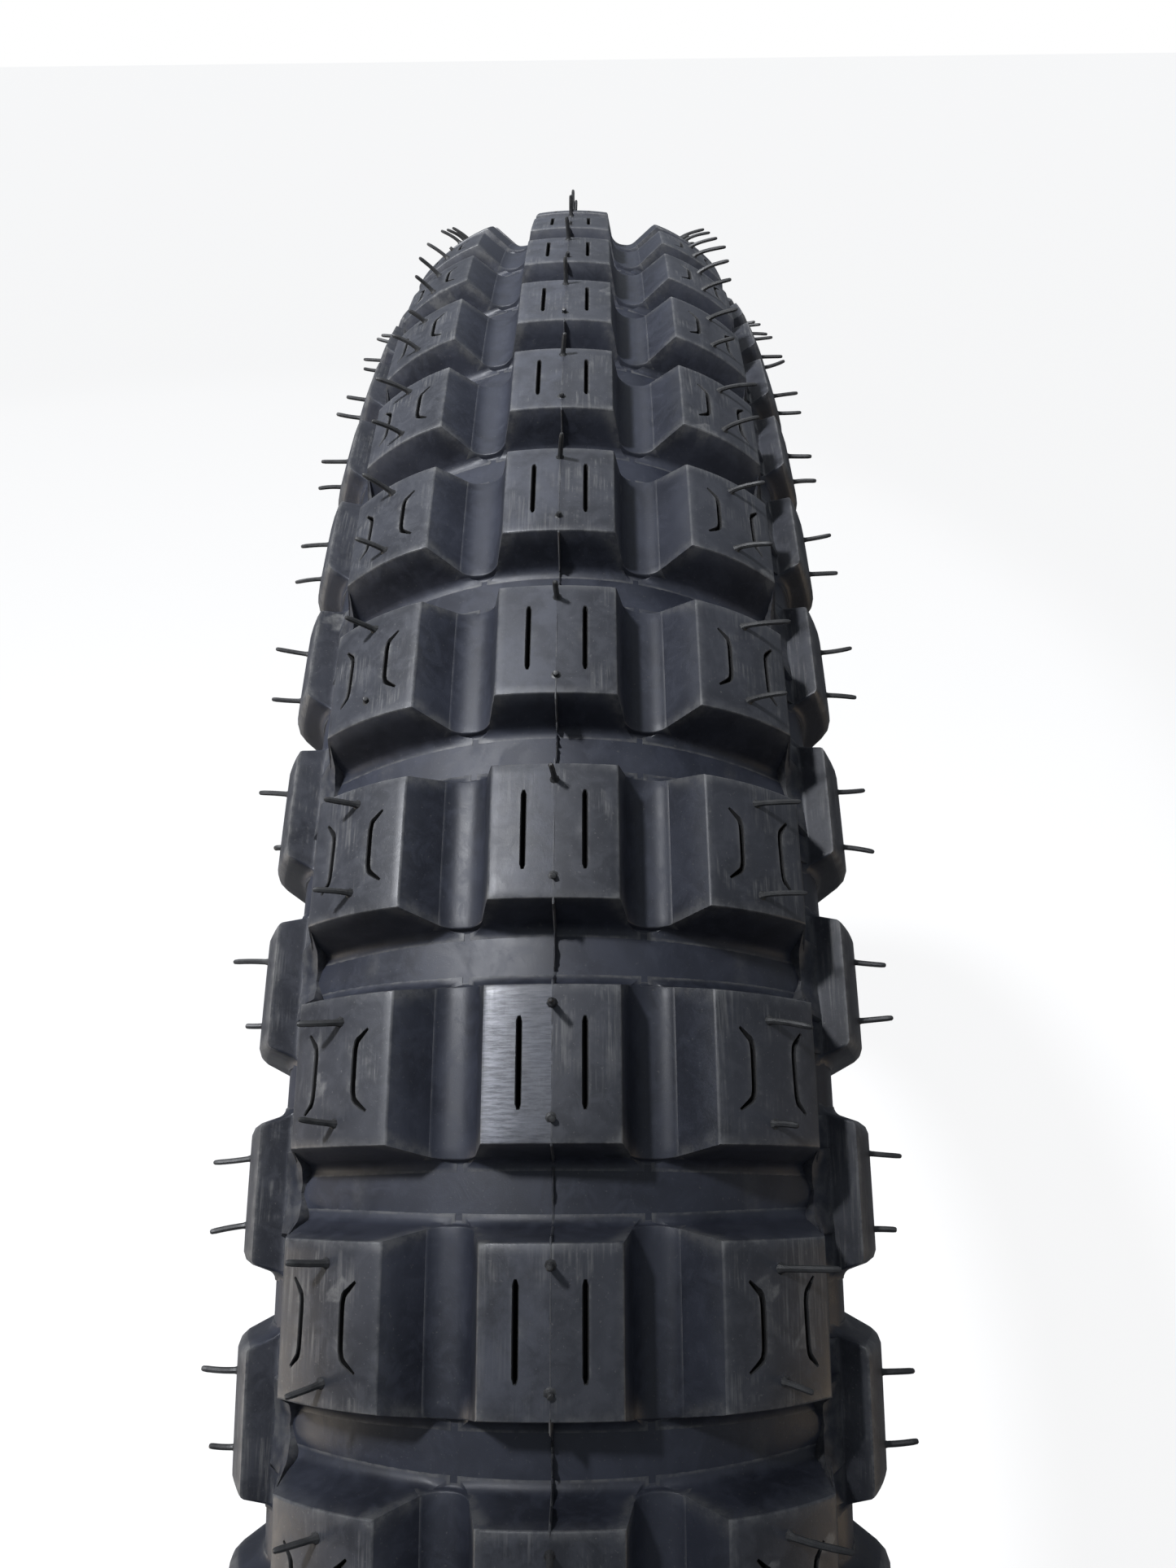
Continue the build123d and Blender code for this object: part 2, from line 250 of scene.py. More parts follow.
# ---------------------------------------------------------------- tread studs


def stud(top, foot, half_top, half_foot, edge, columns, foot_round=FOOT_ROUND):
    """Closed block at turn 0: eased top edges, drafted walls and a flared foot."""
    top, foot = np.array(top, float), np.array(foot, float)
    rows = len(top)
    half_top, half_foot, edge = (
        np.broadcast_to(np.array(size, float), rows) for size in (half_top, half_foot, edge))
    depth = np.linalg.norm(foot - top, axis=1)
    shares = np.linspace(-1, 1, columns)

    def ring(inset, share, spread):
        spine = top + share[:, None] * (foot - top)
        heading = [spine[0] - spine[1], spine[-1] - spine[-2]]
        heading = [way / np.linalg.norm(way) for way in heading]
        spine[0] = spine[0] + heading[0] * (spread - inset[0])
        spine[-1] = spine[-1] + heading[1] * (spread - inset[-1])
        half = half_top + share * (half_foot - half_top) - inset + spread
        turns = half[:, None] * shares[None, :] / spine[:, 1:2]
        return around(np.repeat(spine[:, None, :], columns, axis=1), turns).reshape(-1, 3)

    rings = [ring(edge * inset, edge * drop / depth, 0) for inset, drop in ((1, 0), (0.3, 0.3), (0, 1))]
    rings += [ring(0 * edge, np.full(rows, share), 0) for share in (0.4, 0.7)]
    for swing in np.linspace(0, pi / 2, 5):
        height = foot_round * (1 - sin(swing))
        rings.append(ring(0 * edge, 1 - height / depth, foot_round * (1 - cos(swing))))
    rings.append(ring(0 * edge, 1 + SINK / depth, foot_round))
    rim = rim_of(rows, columns)
    points, faces = list(rings[0]), grid_faces(0, rows, columns)
    marks = [1] * len(faces)
    last = rim
    for number, sheet in enumerate(rings[1:]):
        first = len(points)
        points.extend(sheet[rim])
        loop = list(range(first, first + len(rim)))
        for a in range(len(rim)):
            b = (a + 1) % len(rim)
            faces.append((last[a], last[b], loop[b], loop[a]))
            marks.append(1 if number < 2 else 0)
        last = loop
    first = len(points)
    points.extend(rings[-1])
    under = grid_faces(first, rows, columns)
    return welded(points, faces + under, marks + [0] * len(under))


def floor_points(start, end, count):
    """Points of the groove floor's curve between two distances across."""
    leans = (lean_at(FLOOR_CENTRE, FLOOR_BEND, start), lean_at(FLOOR_CENTRE, FLOOR_BEND, end))
    return bend(FLOOR_CENTRE, FLOOR_BEND, *leans, count)


def wall_half(points):
    """Half length of a block at section points, longer the deeper they lie."""
    halves = []
    for across, radius in points:
        top = tread_top(min(abs(across), SHOULDER_OUT))
        halves.append(BLOCK_HALF_TURN * radius + max(0.0, top - radius) * DRAFT)
    return halves


def softened(route):
    """Route with each corner cut back twice, so that it bends instead of kinking."""
    route = np.array(route, float)
    for _ in range(2):
        near, far = route[:-1] * 0.86 + route[1:] * 0.14, route[:-1] * 0.14 + route[1:] * 0.86
        inside = np.stack([near, far], axis=1).reshape(-1, 2)[1:-1]
        route = np.vstack([route[:1], inside, route[-1:]])
    return route


def slot_cutter(route, place):
    """Knife for one slot along a route, narrower at its ends and eased at the block's top."""
    route = softened(route)
    steps = np.diff(route, axis=0)
    steps /= np.linalg.norm(steps, axis=1)[:, None]
    ways = np.vstack([steps[:1], (steps[:-1] + steps[1:]) / 2, steps[-1:]])
    ways /= np.linalg.norm(ways, axis=1)[:, None]
    sides = np.stack([-ways[:, 1], ways[:, 0]], axis=-1)
    half = SIPE_WIDTH / 2
    narrowing = np.ones(len(route))
    narrowing[[0, -1]] = SIPE_END_NARROWING
    levels = ((0.6, half + 0.6 + SIPE_CHAMFER), (-SIPE_CHAMFER, half), (-SIPE_DEPTH, half * 0.8))
    points, faces = [], []
    count = len(route)
    for height, width in levels:
        line = route.copy()
        line[0] -= ways[0] * (width - half * 0.5)
        line[-1] += ways[-1] * (width - half * 0.5)
        spread = sides * (width * narrowing)[:, None]
        loop = np.vstack([line + spread, (line - spread)[::-1]])
        points.extend(place(s, x, height) for s, x in loop)
    around_slot = 2 * count
    for level in range(len(levels) - 1):
        for a in range(around_slot):
            b = (a + 1) % around_slot
            first = level * around_slot
            faces.append((first + a, first + b, first + around_slot + b, first + around_slot + a))
    for level in (0, len(levels) - 1):
        first = level * around_slot
        for a in range(count - 1):
            faces.append((first + a, first + a + 1, first + around_slot - 2 - a, first + around_slot - 1 - a))
    return welded(points, faces, [2] * len(faces))


def on_centre(s, x, height):
    section = along(TREAD_CENTRE, s / TREAD_BEND, TREAD_BEND + height)
    return around(section, x / section[1])


def on_shoulder(s, x, height):
    middle = (SHOULDER_LEAN + OUTER_LEAN) / 2
    section = along(SHOULDER_TREAD_CENTRE, middle + s / SHOULDER_TREAD_BEND, SHOULDER_TREAD_BEND + height)
    return around(section, x / section[1])


def centre_block():
    """Centre block with its two straight slots."""
    across = np.linspace(-CENTRE_HALF_WIDTH, CENTRE_HALF_WIDTH, 15)
    top = [(y, tread_top(y)) for y in across]
    spread = CENTRE_FOOT_HALF_WIDTH / CENTRE_HALF_WIDTH
    foot = [(y * spread, floor_at(y * spread)) for y in across]
    block = stud(top, foot, wall_half(top), wall_half(foot), EDGE_ROUND, 17)
    slots = [[(side * CENTRE_SLOT_ACROSS, x) for x in (-5.6, -5.0, 5.0, 5.6)] for side in (-1, 1)]
    return slotted(block, [slot_cutter(route, on_centre) for route in slots])


def shoulder_block():
    """Shoulder block with its two cranked slots."""
    top = bend(SHOULDER_TREAD_CENTRE, SHOULDER_TREAD_BEND, SHOULDER_LEAN, OUTER_LEAN, 13)
    foot = floor_points(SHOULDER_FOOT_IN, SHOULDER_FOOT_OUT, 13)
    block = stud(top, foot, wall_half(top), wall_half(foot), EDGE_ROUND, 17)
    slots = [
        [(-4.9, -5.3), (-2.9, -3.8), (-2.9, 3.3), (-4.6, 4.9)],
        [(5.5, -5.4), (4.1, -4.0), (3.9, 3.0), (5.4, 4.8)],
    ]
    return slotted(block, [slot_cutter(route, on_shoulder) for route in slots])


def valley_line():
    """Hollow between two blocks, from the centre block's wall to the shoulder's slope."""
    hollow = 3.4
    by_centre = bend((13.09, 314.96), hollow, radians(259.4), radians(187.2), 8)
    by_shoulder = bend((13.93, 314.86), hollow, radians(187.2), radians(139.4), 6)
    return np.vstack([by_centre, by_shoulder])


def tie_bar():
    """Raised valley floor between a centre block and a shoulder block."""
    top = valley_line()
    foot = floor_points(top[0][0] - 0.4, top[-1][0] + 1.5, len(top))
    return stud(top, foot, wall_half(top), wall_half(foot), BAR_EDGE_ROUND, 17, foot_round=BAR_FOOT_ROUND)


KNOB_INNER = (38.0, 296.0)
KNOB_RIDGE = (41.6, 298.0)


def side_knob():
    """Side knob at turn 0: flank, ridge, bowed outer face and rounded lower lip."""
    flank = [np.array(KNOB_INNER) * (1 - s) + np.array(KNOB_RIDGE) * s for s in (0, 0.12, 0.5, 0.9, 1)]
    face = [(42.2, 297.1), (43.2, 295.0), (44.2, 292.4), (44.9, 289.9), (45.2, 288.3), (45.15, 287.1),
            (44.6, 286.2)]
    top = np.vstack([flank, face])
    foot = np.vstack([floor_points(37.2, 37.9, 5), [
        (38.6, 294.5), (39.4, 293.0), (40.0, 290.8), (40.2, 288.5), (40.3, 286.0), (40.35, 283.6),
        (40.4, 281.6),
    ]])
    lengthening = [0.85, 0.75, 0.4, 0.05, 0, 0, 0, 0, 0, 0.05, 0.15, 0.3]
    half_top = [KNOB_HALF + more for more in lengthening]
    half_foot = [half + KNOB_SPREAD + KNOB_DRAFT * np.linalg.norm(high - low)
                 for half, high, low in zip(half_top, top, foot)]
    edge = [0.3, 0.3, 0.3, 0.35, 0.5, 0.8, 1.1, 1.2, 1.2, 1.2, 1.1, 0.9]
    return stud(top, foot, half_top, half_foot, edge, 15, foot_round=KNOB_FOOT_ROUND)


def knob_web():
    """Low web beside a side knob, with a gusset up to each shoulder block's outer corner."""
    reach = 0.0345
    turns = np.linspace(-reach, reach, 47)
    gap = [0, 0.0040, 0.0114, 0.0178, 0.0192, reach]
    foot = np.interp(abs(turns), gap, [34.9, 34.5, 33.3, 33.4, 34.2, 34.2])
    crest = np.interp(abs(turns), gap, [35.2, 35.0, 34.6, 34.8, 35.3, 35.3])
    rise = np.interp(abs(turns), gap, [0.6, 0.7, 3.4, 9.0, 0.6, 0.6])
    sections = []
    for inner, top, height in zip(foot, crest, rise):
        root, ridge = (inner, floor_at(inner)), (top, floor_at(top) + height)
        outer = along(FLOOR_CENTRE, lean_at(FLOOR_CENTRE, FLOOR_BEND, 38.2), FLOOR_BEND + 0.5)
        under = along(FLOOR_CENTRE, lean_at(FLOOR_CENTRE, FLOOR_BEND, 38.3), FLOOR_BEND - 0.5)
        middle = (ridge + outer) / 2 - (0.12 * height, 0.0)
        sections.append([(inner, root[1] - 0.5), root, ridge, middle, outer, under])
    points = around(np.array(sections), turns[:, None]).reshape(-1, 3)
    count = len(sections[0])
    faces = grid_faces(0, len(turns), count)
    faces += [(row * count, row * count + count - 1, (row + 2) * count - 1, (row + 1) * count)
              for row in range(len(turns) - 1)]
    last = (len(turns) - 1) * count
    faces += [tuple(range(count)), tuple(range(last, last + count))]
    return welded(points, faces, [0] * len(faces))


def joined(*units):
    """Arrays of several unit meshes as one."""
    every_point, faces, marks = [], [], []
    for mesh in units:
        points, some_faces, some_marks = unit_arrays(mesh)
        start = sum(len(p) for p in every_point)
        every_point.append(points)
        faces.extend(tuple(start + corner for corner in face) for face in some_faces)
        marks.extend(some_marks)
    return np.concatenate(every_point), faces, marks


# ---------------------------------------------------------------- rings


def lathe(profile, segments=ROWS * 12):
    """Arrays of a closed ring with that section all the way round."""
    profile = np.array(profile, float)
    count = len(profile)
    turns = np.arange(segments) * tau / segments
    section = np.repeat(profile[None, :, :], segments, axis=0)
    points = around(section, turns[:, None]).reshape(-1, 3)
    faces = []
    for step in range(segments):
        ahead = (step + 1) % segments
        for a in range(count):
            b = (a + 1) % count
            faces.append((step * count + a, step * count + b, ahead * count + b, ahead * count + a))
    return points, faces, [0] * len(faces)


def casing_line(stand_off, start, end, count):
    """Points of the casing's curve between two leans, moved outward."""
    points = []
    for lean in np.linspace(start, end, count):
        if lean <= CROWN_END:
            points.append(along(CROWN, lean, CROWN_BEND + stand_off))
        elif lean <= SHOULDER_END:
            points.append(along(SHOULDER, lean, SHOULDER_BEND + stand_off))
        else:
            points.append(along(SIDE, lean, SIDE_BEND + stand_off))
    return np.array(points)


def mirrored_line(points):
    """The same line on both sides of the middle, joined into one."""
    points = np.array(points)
    return np.vstack([points[::-1] * (-1, 1), points[1:]])


def tread_base():
    """Ring under the blocks, as wide as the two breakers and a little more."""
    outer = mirrored_line(floor_points(0, BASE_EDGE, 19))
    inner = mirrored_line(casing_line(CASING + BREAKERS, 0, BASE_LEAN, 12))
    return lathe(np.vstack([outer, inner[::-1]]))


def skin_shoulder():
    """Skin from the groove floor's edge round to the top of the sidewall."""
    edge = floor_points(36.9, 37.4, 2)
    bow = [(38.35, 294.9), (39.15, 293.0), (39.75, 291.0), (40.15, 289.2), (40.35, 287.4), (40.38, 285.2)]
    return np.vstack([edge, bow])


def shoulder_strip():
    """Skin that the side knobs stand on, from the tread base to the sidewall."""
    outer = np.vstack([floor_points(BASE_EDGE, 36.5, 14), skin_shoulder(), [SKIN_FOOT]])
    inner = casing_line(CASING, SHOULDER_END, STRIP_LEAN, 12)
    return lathe(np.vstack([outer, inner]))


def rib(lean):
    """Points of a small round ridge on the sidewall."""
    surface_bend = SIDE_BEND + SIDE_WALL
    foot = 1.6 * RIB_HEIGHT / surface_bend
    return [along(SIDE, lean - foot * cos(swing), surface_bend + RIB_HEIGHT * sin(swing) ** 2)
            for swing in np.linspace(0, pi, 7)]


def sidewall():
    """Sidewall with its two fitting lines, each in a cleared stretch, and the skirt that meets the rim."""
    line = [SKIN_FOOT]
    for lean in np.linspace(84, 128, 23):
        if lean in RIB_LEANS:
            line.extend(rib(radians(lean)))
        elif all(abs(lean - middle) > RIB_CLEARING for middle in RIB_CLEARED):
            line.append(along(SIDE, radians(lean), SIDE_BEND + SIDE_WALL))
    skirt = [(32.0, 254.3), (30.0, 251.7), (28.4, 249.75), (27.6, 248.75), (26.0, 246.9), (24.9, 245.75)]
    face = [(24.5, 245.2), (BEAD_OUTER, 244.6), (BEAD_OUTER, 243.9)]
    inner = [(23.6, 243.9), (23.75, 247.0), (24.9, 250.2)]
    back = casing_line(CASING, SIDE_END, SHOULDER_END, 14)
    return lathe(np.vstack([line, skirt, face, inner, back]))


def bead_foot_line(inset):
    """Bead's foot from its toe's inner wall round to the flange face."""
    toe, heel = TOE_ROUND - inset, HEEL_ROUND - inset
    inner, outer, seat = BEAD_INNER + inset, BEAD_OUTER - inset, SEAT_RADIUS + inset
    toe_round = bend((inner + toe, seat + toe), toe, radians(270), radians(180), 6)
    heel_round = bend((outer - heel, seat + heel), heel, radians(180), radians(90), 8)
    flat = [((inner + toe) * (1 - s) + (outer - heel) * s, seat) for s in (0.2, 0.4, 0.6, 0.8)]
    return inner, outer, np.vstack([toe_round, flat, heel_round])


def chafer():
    """Strip of woven fabric wrapped under the bead."""
    inner, outer, under = bead_foot_line(0)
    inner_lining, outer_lining, over = bead_foot_line(CHAFER_THICKNESS)
    face = [(outer, 236.0), (outer, 240.0), (outer, 244.2), (outer_lining, 244.2), (outer_lining, 238.0)]
    back = [(inner_lining, 235.0), (inner_lining, 238.66), (inner + 0.15, 238.66), (inner, 238.4),
            (inner, 234.0)]
    return lathe(np.vstack([under, face, over[::-1], back]))


# ---------------------------------------------------------------- moulding marks


def tube(path, radii, sides=8):
    """Arrays of a closed round rod along a path, with a radius at each point."""
    path = np.array(path, float)
    ways = np.gradient(path, axis=0)
    ways /= np.linalg.norm(ways, axis=1)[:, None]
    across = np.cross(ways[0], (0.31, 0.89, 0.33))
    points = []
    for spot, way, radius in zip(path, ways, radii):
        across = across - way * np.dot(across, way)
        across /= np.linalg.norm(across)
        other = np.cross(way, across)
        for side in range(sides):
            swing = tau * side / sides
            points.append(spot + radius * (across * cos(swing) + other * sin(swing)))
    faces = []
    for step in range(len(path) - 1):
        for a in range(sides):
            b = (a + 1) % sides
            low, high = step * sides, (step + 1) * sides
            faces.append((low + a, low + b, high + b, high + a))
    faces.append(tuple(range(sides))[::-1])
    faces.append(tuple(range(len(points) - sides, len(points))))
    return np.array(points), faces, [0] * len(faces)


def gathered(units):
    """Arrays of many units, each already in its place, as one."""
    every_point, faces, marks, start = [], [], [], 0
    for points, some_faces, some_marks in units:
        every_point.append(points)
        faces.extend(tuple(start + corner for corner in face) for face in some_faces)
        marks.extend(some_marks)
        start += len(points)
    return np.concatenate(every_point), faces, marks


def spew(section, turn, lean, length, swept=0.0, curl_up_to=0.8):
    """Rubber whisker that a vent hole left: flared root, slight curl, blunt tip."""
    radial = np.array([cos(turn), 0, sin(turn)])
    round_way = np.array([-sin(turn), 0, cos(turn)])
    outward = radial * cos(lean) + np.array([0, sin(lean), 0])
    sideways = radial * -sin(lean) + np.array([0, cos(lean), 0])
    swing = LAY.uniform(0, tau)
    curl = (round_way * cos(swing) + sideways * sin(swing)) * LAY.uniform(0.1, curl_up_to)
    heading = outward + round_way * LAY.uniform(-0.18, 0.06) + sideways * LAY.uniform(-0.08, 0.08)
    droop = sideways * swept * (1 if lean >= 0 else -1)
    root = around(np.array(section, float), turn) / MM
    shares = (-0.12, 0.0, 0.05, 0.12, 0.25, 0.4, 0.55, 0.7, 0.85, 0.96, 1.0)
    swell = (2.0, 1.7, 1.2, 1.0, 0.98, 0.97, 0.96, 0.95, 0.94, 0.82, 0.45)
    path = [root + heading * length * s + droop * length * abs(s) ** 1.4 + curl * s**2 for s in shares]
    thickness = SPEW_RADIUS * LAY.uniform(0.93, 1.05)
    return tube(np.array(path) * MM, np.array(swell) * thickness * MM)


def spew_length():
    """Most whiskers are whole, some are torn short, a few are gone to a stub."""
    draw = LAY.random()
    if draw < 0.05:
        return SPEW_LENGTH * LAY.uniform(0.12, 0.25)
    if draw < 0.2:
        return SPEW_LENGTH * LAY.uniform(0.5, 0.75)
    return SPEW_LENGTH * LAY.uniform(0.88, 1.1)


def spews_in_pairs(section, lean, turns, spacing, swept=0.0):
    """Two whiskers at each turn, a spacing to either side of it."""
    units = []
    for turn in turns:
        for side in (-1, 1):
            stand = turn + side * spacing / section[1] + LAY.uniform(-0.5, 0.5) / section[1]
            units.append(spew(section, stand, lean, spew_length(), swept * LAY.uniform(0.8, 1.2)))
    return gathered(units)


def centre_spews():
    """Whiskers on the mould's joint: one whole and one torn to a stub on each block."""
    units = []
    for turn in ROW_TURNS:
        for place, length in ((7.4, LAY.uniform(3.6, 5.4)), (-6.9, LAY.uniform(0.5, 1.1))):
            units.append(spew((0.0, TREAD_RADIUS), turn + place / TREAD_RADIUS, 0.0, length, 0.0, 0.3))
    return gathered(units)


def seam_path():
    """One row of the mould's joint as (turn, radius, outward lean of the surface)."""
    half_top, top_clear, foot_clear = BLOCK_HALF_TURN, 0.0012, 0.001
    half_foot = wall_half([(0.0, FLOOR_RADIUS)])[0] / FLOOR_RADIUS
    drop = TREAD_RADIUS - FLOOR_RADIUS
    top = [(turn, TREAD_RADIUS, 0.0) for turn in np.linspace(top_clear - half_top, half_top - top_clear, 22)]
    wall = [(half_top + (half_foot - half_top) * share, TREAD_RADIUS - drop * share, radians(70))
            for share in (0.05, 0.16, 0.3, 0.44, 0.58, 0.72, 0.84, 0.93)]
    floor_turns = np.linspace(half_foot + foot_clear, PITCH - half_foot - foot_clear, 17)
    groove = [(turn, FLOOR_RADIUS, 0.0) for turn in floor_turns]
    far_wall = [(PITCH - turn, radius, -lean) for turn, radius, lean in wall[::-1]]
    return top + wall + groove + far_wall


def seam_flash():
    """Torn fin that the mould's joint left: a thread on the blocks, a fin in the grooves."""
    ring = []
    drift = 0.0
    for row in range(ROWS):
        whole = LAY.random() < 0.75
        for turn, radius, lean in seam_path():
            on_top = radius > TREAD_RADIUS - 0.1
            drift = 0.8 * drift + LAY.uniform(-0.25, 0.25)
            if on_top:
                height = max(-0.1, 0.05 + 0.09 * drift) if LAY.random() < 0.85 else -0.12
                half = SEAM_THREAD_HALF
            else:
                height = (1.15 if whole else 0.6) + 1.1 * drift + LAY.uniform(-0.22, 0.22)
                height = min(2.1, max(0.12, height)) if LAY.random() < 0.88 else 0.15
                half = SEAM_FIN_HALF
            radial = np.array([cos(turn), 0, sin(turn)])
            tangent = np.array([-sin(turn), 0, cos(turn)])
            out = radial * cos(lean) + tangent * sin(lean)
            spot = radial * radius
            lay = (0.02 if on_top else 0.14) * drift
            waist = (half * 0.75, height * 0.6)
            section = [(-half, SEAM_ROOT), (-waist[0], waist[1]), (lay, height), waist, (half, SEAM_ROOT)]
            swing = row * PITCH
            loop = [spot + out * up + np.array([0, side, 0]) for side, up in section]
            ring.append([(x * cos(swing) - z * sin(swing), y, x * sin(swing) + z * cos(swing))
                         for x, y, z in loop])
    count = len(ring[0])
    points = np.array(ring).reshape(-1, 3) * MM
    faces = []
    for step in range(len(ring)):
        ahead = (step + 1) % len(ring)
        for a in range(count):
            b = (a + 1) % count
            faces.append((step * count + a, step * count + b, ahead * count + b, ahead * count + a))
    return points, faces, [0] * len(faces)


# ---------------------------------------------------------------- node helpers


class Sheet:
    """Node tree that nodes are laid out in."""

    def __init__(self, tree):
        self.tree = tree

    def feed(self, socket, value):
        if isinstance(value, bpy.types.Node):
            value = value.outputs[0]
        if isinstance(value, bpy.types.NodeSocket):
            self.tree.links.new(value, socket)
        else:
            socket.default_value = value

    def add(self, kind, sockets=None, **settings):
        node = self.tree.nodes.new(kind)
        for key, value in settings.items():
            setattr(node, key, value)
        for key, value in (sockets or {}).items():
            self.feed(node.inputs[key], value)
        return node

    def math(self, operation, first, second=0.0, third=0.0, clamp=False):
        sockets = {0: first, 1: second, 2: third}
        return self.add("ShaderNodeMath", sockets, operation=operation, use_clamp=clamp)

    def span(self, value, low, high, bottom=0.0, top=1.0, smooth=True):
        """Value carried from one range to another, held at the ends."""
        sockets = {0: value, 1: low, 2: high, 3: bottom, 4: top}
        kind = "SMOOTHSTEP" if smooth else "LINEAR"
        return self.add("ShaderNodeMapRange", sockets, interpolation_type=kind)

    def mix(self, factor, first, second, blend="MIX"):
        node = self.add("ShaderNodeMix", {0: factor}, data_type="RGBA", blend_type=blend)
        self.feed(node.inputs[6], first)
        self.feed(node.inputs[7], second)
        return node.outputs[2]

    def noise(self, place, scale, detail=4.0, rough=0.55, warp=0.0):
        sockets = {"Vector": place, "Scale": scale, "Detail": detail, "Roughness": rough, "Distortion": warp}
        return self.add("ShaderNodeTexNoise", sockets)

    def place(self):
        return self.add("ShaderNodeTexCoord").outputs["Object"]


def grey(value, blue=1.0):
    """Near-neutral rubber colour."""
    return (value, value * (1 + (blue - 1) * 0.2), value * blue, 1.0)


def new_group(name, inputs, outputs):
    """Empty node group with number inputs and the outputs named."""
    tree = bpy.data.node_groups.new(name, "ShaderNodeTree")
    for label, value in inputs.items():
        socket = tree.interface.new_socket(label, in_out="INPUT", socket_type="NodeSocketFloat")
        socket.default_value = value
    for label in outputs:
        tree.interface.new_socket(label, in_out="OUTPUT", socket_type="NodeSocketFloat")
    sheet = Sheet(tree)
    return sheet, sheet.add("NodeGroupInput").outputs, sheet.add("NodeGroupOutput").inputs


def tyre_place_group():
    """Where a point is on the tyre: radius and across in mm, and the turn in radians."""
    sheet, _, out = new_group("tyre_place", {}, ("Radius", "Across", "Turn"))
    parts = sheet.add("ShaderNodeSeparateXYZ", {0: sheet.place()})
    x, y, z = parts.outputs
    radius = sheet.math("SQRT", sheet.math("ADD", sheet.math("MULTIPLY", x, x), sheet.math("MULTIPLY", z, z)))
    sheet.feed(out["Radius"], sheet.math("MULTIPLY", radius, 1000.0))
    sheet.feed(out["Across"], sheet.math("MULTIPLY", y, 1000.0))
    sheet.feed(out["Turn"], sheet.math("ARCTAN2", z, x))
    return sheet.tree


def mottle_group():
    """Bloom and handling marks on rubber, from broad clouds down to single specks."""
    outputs = ("Cloud", "Blotch", "Speck", "Grain")
    sheet, given, out = new_group("rubber_mottle", {"Cloud Size": 18.0}, outputs)
    place = sheet.place()
    per_metre = sheet.math("DIVIDE", 1000.0, given["Cloud Size"])
    cloud = sheet.noise(place, per_metre, 5.0, 0.6, 0.4)
    blotch = sheet.noise(place, sheet.math("MULTIPLY", per_metre, 6.0), 6.0, 0.7, 0.6)
    speck = sheet.noise(place, 2300.0, 2.0, 0.6)
    grain = sheet.noise(place, 5200.0, 3.0, 0.7)
    sheet.feed(out["Cloud"], sheet.span(cloud, 0.36, 0.64))
    sheet.feed(out["Blotch"], sheet.span(blotch, 0.42, 0.66))
    sheet.feed(out["Speck"], sheet.span(speck, 0.66, 0.74))
    sheet.feed(out["Grain"], grain.outputs[0])
    return sheet.tree


def edge_group():
    """Mask of the convex edges that are made paler, partly as rub wear and partly as a painted highlight
    along them, broken up by noise.
    """
    sheet, given, out = new_group("edge_rub_and_highlight", {"Reach": 0.5}, ("Mask",))
    point = sheet.add("ShaderNodeNewGeometry").outputs["Pointiness"]
    edge = sheet.span(point, 0.505, 0.56)
    broken = sheet.span(sheet.noise(sheet.place(), 420.0, 5.0, 0.7), 0.38, 0.62)
    kept = sheet.math("ADD", sheet.math("MULTIPLY", broken, 0.75), 0.25)
    rubbed = sheet.math("MULTIPLY", edge, kept)
    sheet.feed(out["Mask"], sheet.math("MULTIPLY", rubbed, given["Reach"], clamp=True))
    return sheet.tree


def streak_group():
    """Fine lines that run round the tyre, as a brush or a road leaves them."""
    sheet, given, out = new_group("round_streaks", {"Fineness": 1.0}, ("Streak", "Patch"))
    spot = sheet.add("ShaderNodeGroup", node_tree=PLACE)
    turn = spot.outputs["Turn"]
    across = sheet.math("MULTIPLY", sheet.math("MULTIPLY", spot.outputs["Across"], 2.6), given["Fineness"])
    wander = sheet.math("MULTIPLY", sheet.math("SINE", turn), 34.0)
    other = sheet.math("MULTIPLY", sheet.math("COSINE", turn), 34.0)
    vector = sheet.add("ShaderNodeCombineXYZ", {0: wander, 1: across, 2: other})
    streak = sheet.noise(vector, 1.0, 5.0, 0.65)
    patch = sheet.noise(sheet.place(), 75.0, 4.0, 0.6, 0.8)
    sheet.feed(out["Streak"], sheet.span(streak, 0.45, 0.68))
    sheet.feed(out["Patch"], sheet.span(patch, 0.50, 0.62))
    return sheet.tree


def weave_group():
    """Square cloth pressed into rubber: height of the threads and the gaps between them."""
    counts = {"Threads Round": 1500.0, "Threads Across": 4.2}
    sheet, given, out = new_group("square_cloth", counts, ("Height",))
    spot = sheet.add("ShaderNodeGroup", node_tree=PLACE).outputs
    spread = sheet.math("ADD", spot["Across"], spot["Radius"])
    warp = sheet.math("SINE", sheet.math("MULTIPLY", spot["Turn"], given["Threads Round"]))
    weft = sheet.math("SINE", sheet.math("MULTIPLY", spread, given["Threads Across"]))
    over = sheet.math("MULTIPLY", sheet.math("MULTIPLY", warp, weft), 0.35)
    ribbed = sheet.math("MAXIMUM", sheet.math("ABSOLUTE", warp), sheet.math("ABSOLUTE", weft))
    sheet.feed(out["Height"], sheet.math("ADD", over, sheet.math("MULTIPLY", ribbed, 0.65)))
    return sheet.tree


def cord_group():
    """Slanting cords that show through the rubber that covers them."""
    sheet, given, out = new_group("slanted_cords", {"Cords Round": 900.0, "Slant": 3.0}, ("Height",))
    spot = sheet.add("ShaderNodeGroup", node_tree=PLACE).outputs
    lean = sheet.math("MULTIPLY", spot["Across"], given["Slant"])
    count = sheet.math("MULTIPLY", spot["Turn"], given["Cords Round"])
    wave = sheet.math("SINE", sheet.math("ADD", count, lean))
    sheet.feed(out["Height"], sheet.math("ADD", sheet.math("MULTIPLY", wave, 0.5), 0.5))
    return sheet.tree


